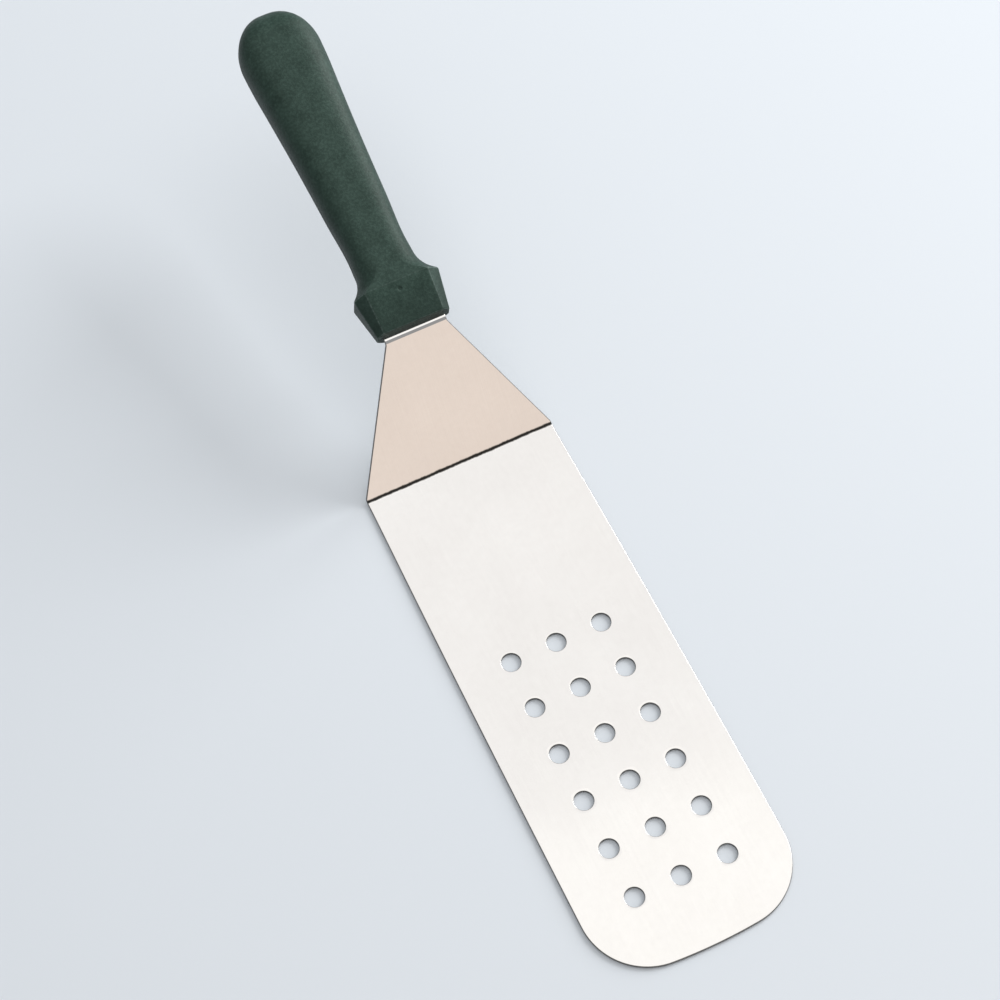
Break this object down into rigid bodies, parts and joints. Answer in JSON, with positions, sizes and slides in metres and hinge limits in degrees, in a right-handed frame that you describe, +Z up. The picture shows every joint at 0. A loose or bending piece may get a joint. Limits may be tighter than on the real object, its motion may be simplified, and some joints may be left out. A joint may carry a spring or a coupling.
{
  "type": "grill spatula",
  "caption": "Offset grill spatula: a flat perforated stainless blade with rounded front corners, a rising shank that narrows, and a dark moulded handle with a faceted bolster.",
  "frame": {"origin": "middle of the whole spatula's footprint, on the surface that the blade lies flat on", "axes": "+X across the blade, +Y from the blade towards the handle, +Z up from that surface"},
  "size_m": [0.0762, 0.3642, 0.0798],
  "materials": {
    "stainless_steel": "polished stainless sheet with a faint grain",
    "moulded_plastic": "fine moulded texture, very dark green"
  },
  "bodies": {
    "root": {"blade": "stainless_steel", "handle": "moulded_plastic"}
  },
  "joints": []
}
